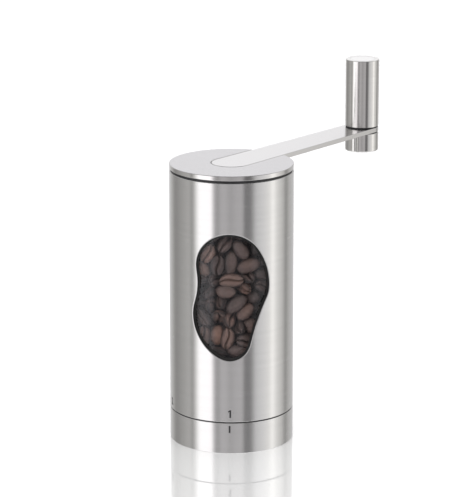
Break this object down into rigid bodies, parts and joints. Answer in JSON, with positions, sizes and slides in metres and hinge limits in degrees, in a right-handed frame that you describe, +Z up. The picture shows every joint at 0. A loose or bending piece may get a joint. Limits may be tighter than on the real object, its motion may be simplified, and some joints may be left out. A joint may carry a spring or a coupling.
{
  "type": "hand crank coffee grinder",
  "caption": "Hand crank coffee grinder: steel tube with a bean-shaped window and clear hopper, conical burrs, a lift-off lid with a flat crank arm and turning knob, and a grind ring.",
  "frame": {"origin": "centre of the foot on the main axis, at the mouth of the jar socket, on the surface that the grinder stands on", "axes": "+Z up along the shaft towards the lid; -Y out through the window; +X to the right of someone who faces the window"},
  "size_m": [0.1045, 0.1206, 0.1717],
  "materials": {
    "body_steel": "satin, brushed round the tube",
    "lid_steel": "fine satin, brushed across the lid",
    "knob_steel": "satin, brushed round the knob",
    "inner_steel": "bright turned steel",
    "black_plastic": "fine matte moulding",
    "bush_plastic": "pale acetal",
    "clear_acrylic": "clear, polished",
    "burr_ceramic": "fired, unglazed",
    "black_rubber": "soft matte",
    "roasted_bean": "dark roast with a slight oil sheen"
  },
  "bodies": {
    "housing": {"outer_tube": "body_steel", "window_gasket": "black_rubber", "hopper_liner": "clear_acrylic", "liner_gasket": "black_rubber", "mill_housing": "black_plastic", "lower_bridge": "black_plastic", "lower_bush": "bush_plastic", "lower_bridge_screws": "inner_steel", "upper_bridge": "black_plastic", "upper_bush": "bush_plastic", "upper_bridge_screws": "inner_steel", "top_collar": "black_plastic"},
    "adjuster": {"adjuster_ring": "body_steel", "adjuster_nut": "black_plastic", "adjuster_o_ring": "black_rubber", "retaining_ring": "inner_steel"},
    "burr_carrier": {"burr_carrier": "black_plastic", "outer_burr": "burr_ceramic", "burr_clamp_ring": "black_plastic", "burr_clamp_screws": "inner_steel", "carrier_spring": "inner_steel"},
    "drive": {"drive_shaft": "inner_steel", "inner_burr": "burr_ceramic", "thrust_washer": "bush_plastic", "burr_washer": "inner_steel", "burr_screw": "inner_steel", "shaft_clip": "inner_steel"},
    "crank_lid": {"lid_plate": "lid_steel", "lid_carrier": "black_plastic", "lid_screws": "inner_steel", "drive_socket": "inner_steel", "lid_o_ring": "black_rubber", "crank_arm": "lid_steel", "arm_screws": "inner_steel", "knob_spindle": "inner_steel", "knob_foot": "knob_steel", "foot_washer": "black_plastic", "knob_clip": "inner_steel"},
    "knob": {"knob_sleeve": "knob_steel", "knob_cap": "knob_steel", "upper_knob_bush": "bush_plastic", "lower_knob_bush": "black_plastic"}
  },
  "joints": [
    {"name": "crank_turn", "type": "hinge", "parent": "housing", "child": "drive", "pos_m": [0, 0, 0.1], "axis": [0, 0, 1], "continuous": true},
    {"name": "lid_lift", "type": "slide", "parent": "drive", "child": "crank_lid", "axis": [0, 0, 1], "range_m": [0, 0.06]},
    {"name": "knob_spin", "type": "hinge", "parent": "crank_lid", "child": "knob", "pos_m": [0.06604, 0.08214, 0.155], "axis": [0, 0, 1], "continuous": true},
    {"name": "adjuster_turn", "type": "hinge", "parent": "housing", "child": "adjuster", "pos_m": [0, 0, 0.01], "axis": [0, 0, 1], "range_deg": [-216, 0]},
    {"name": "carrier_rise", "type": "slide", "parent": "housing", "child": "burr_carrier", "axis": [0, 0, 1], "range_m": [0, 0.00121], "deforming": ["carrier_spring"]}
  ],
  "couplings": [
    {"joint": "carrier_rise", "follows": "adjuster_turn", "m_per_rad": -0.00031831}
  ]
}
